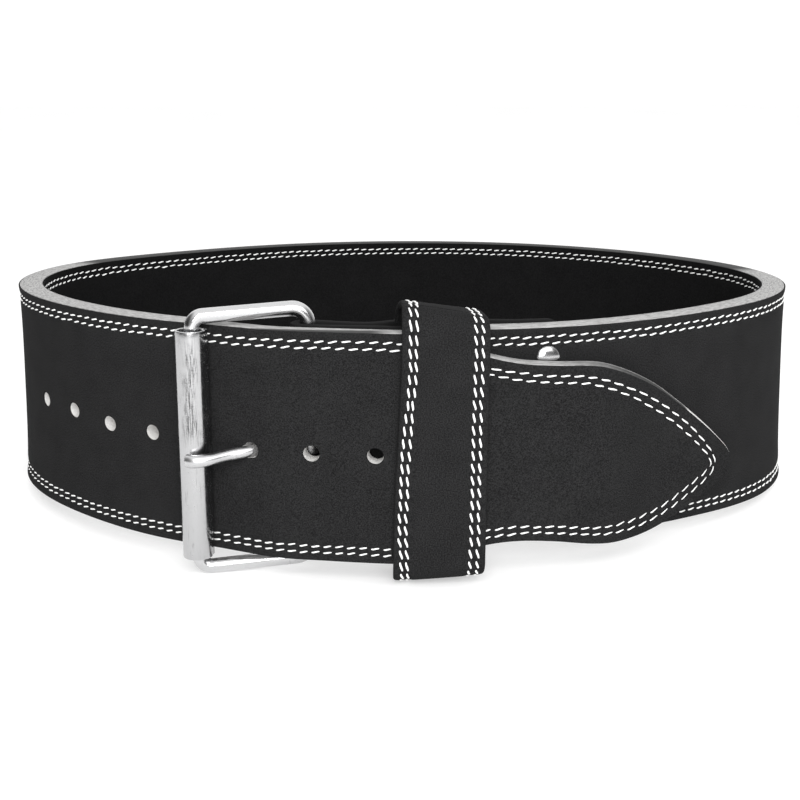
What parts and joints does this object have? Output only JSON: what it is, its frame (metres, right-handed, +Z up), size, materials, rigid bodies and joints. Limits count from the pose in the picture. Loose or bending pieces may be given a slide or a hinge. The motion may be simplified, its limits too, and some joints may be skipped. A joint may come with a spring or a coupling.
{
  "type": "weightlifting belt",
  "caption": "Thick leather lifting belt with suede facings, a prong and roller buckle and a keeper loop, fastened into a hoop.",
  "frame": {"origin": "middle of the belt's box at the surface that it stands on", "axes": "+X to the wearer's left along the belt's width, buckle towards -X; +Y from the buckle towards the back panel; +Z up, across the strap"},
  "size_m": [0.411, 0.339, 0.1204],
  "materials": {
    "raw_leather": "raw natural cut edge, light grey",
    "outer_suede": "black suede, matt",
    "inner_suede": "black suede, matt",
    "fold_suede": "black suede with light cut edges",
    "keeper_suede": "black suede, matt",
    "buckle_steel": "nickel-plated steel, bright",
    "roller_steel": "nickel-plated steel, scratched along the tube",
    "rivet_steel": "nickel-plated steel, bright",
    "white_thread": "white waxed thread"
  },
  "bodies": {
    "root": {"belt_core": "raw_leather", "belt_outer_facing": "outer_suede", "belt_inner_facing": "inner_suede", "buckle_fold": "fold_suede", "keeper_loop": "keeper_suede", "buckle_frame": "buckle_steel", "buckle_roller": "roller_steel", "buckle_prong": "buckle_steel", "rivet_strap_upper": "rivet_steel", "rivet_strap_lower": "rivet_steel", "rivet_bar_upper": "rivet_steel", "rivet_bar_lower": "rivet_steel"}
  },
  "joints": []
}
